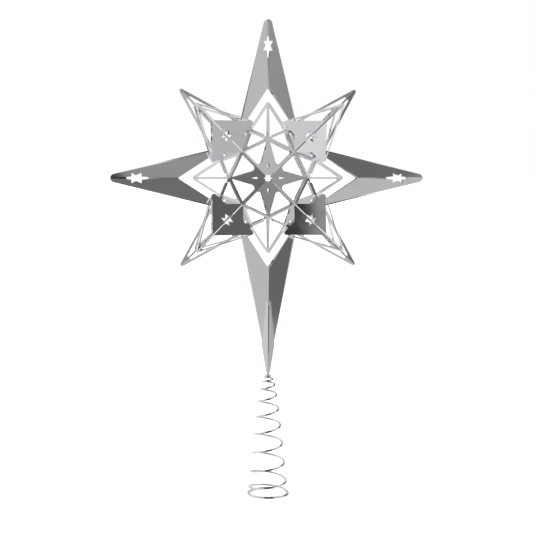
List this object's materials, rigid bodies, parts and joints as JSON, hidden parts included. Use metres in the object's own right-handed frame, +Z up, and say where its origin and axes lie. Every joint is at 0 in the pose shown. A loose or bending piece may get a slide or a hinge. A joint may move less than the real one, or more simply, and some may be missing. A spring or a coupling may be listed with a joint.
{
  "type": "tree topper star",
  "caption": "Folded openwork sheet-metal star with long rays and raised corner kites, on a swivel pin and a conical coil spring foot.",
  "frame": {"origin": "centre of the spring's bottom ring, at the level it stands on", "axes": "+Z up along the spring's axis and the long rays, -Y is the front, +X to the right seen from the front"},
  "size_m": [0.1684, 0.0302, 0.2568],
  "materials": {
    "silver_plate": "polished silver-coloured plating on folded sheet",
    "spring_wire": "bright drawn and plated wire",
    "pin_steel": "bright turned steel"
  },
  "bodies": {
    "spring": {"spring": "spring_wire"},
    "pin": {"swivel_pin": "pin_steel"},
    "star": {"ray_top_front": "silver_plate", "ray_top_rear": "silver_plate", "ray_left_front": "silver_plate", "ray_left_rear": "silver_plate", "ray_right_front": "silver_plate", "ray_right_rear": "silver_plate", "ray_bottom_front": "silver_plate", "ray_bottom_rear": "silver_plate", "open_star_front": "silver_plate", "open_star_rear": "silver_plate", "net_front": "silver_plate", "net_rear": "silver_plate", "sleeve_front": "silver_plate", "sleeve_rear": "silver_plate", "sleeve_rivet": "pin_steel"}
  },
  "joints": [
    {"name": "spring_press", "type": "slide", "parent": "spring", "child": "pin", "axis": [0, 0, 1], "range_m": [-0.02, 0], "stiffness_N_per_m": 365, "springref_m": 0.0016, "deforming": ["spring"]},
    {"name": "star_turn", "type": "hinge", "parent": "pin", "child": "star", "pos_m": [0, 0, 0.0668], "axis": [0, 0, 1], "continuous": true}
  ]
}
